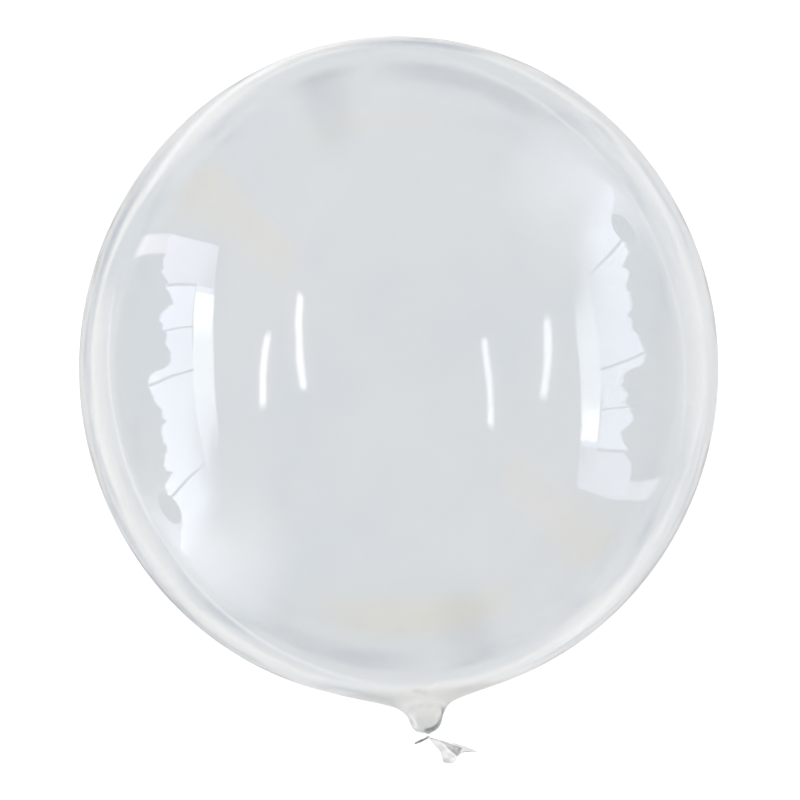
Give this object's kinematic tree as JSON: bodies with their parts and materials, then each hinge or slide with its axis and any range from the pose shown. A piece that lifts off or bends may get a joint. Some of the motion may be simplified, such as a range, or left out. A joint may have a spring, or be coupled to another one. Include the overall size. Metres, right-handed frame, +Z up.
{
  "type": "clear bubble balloon",
  "caption": "Large clear film bubble balloon with its neck gathered and tied off beside the long axis and a short crumpled film tail; lies on a small pressed-flat spot.",
  "frame": {"origin": "middle of the small flat spot on the balloon's side that it lies on", "axes": "+Z up; the long axis runs along Y with the tied neck towards -Y; +X is the side that the neck leans and the film tail points to"},
  "size_m": [0.5, 0.5678, 0.4982],
  "materials": {
    "clear_film": "thin stretched clear polymer film, glossy on both sides, with a faint cool grey cast",
    "tie_thread": "thin translucent white nylon thread, slightly glossy"
  },
  "bodies": {
    "root": {"bubble": "clear_film", "neck_tie": "tie_thread"}
  },
  "joints": []
}
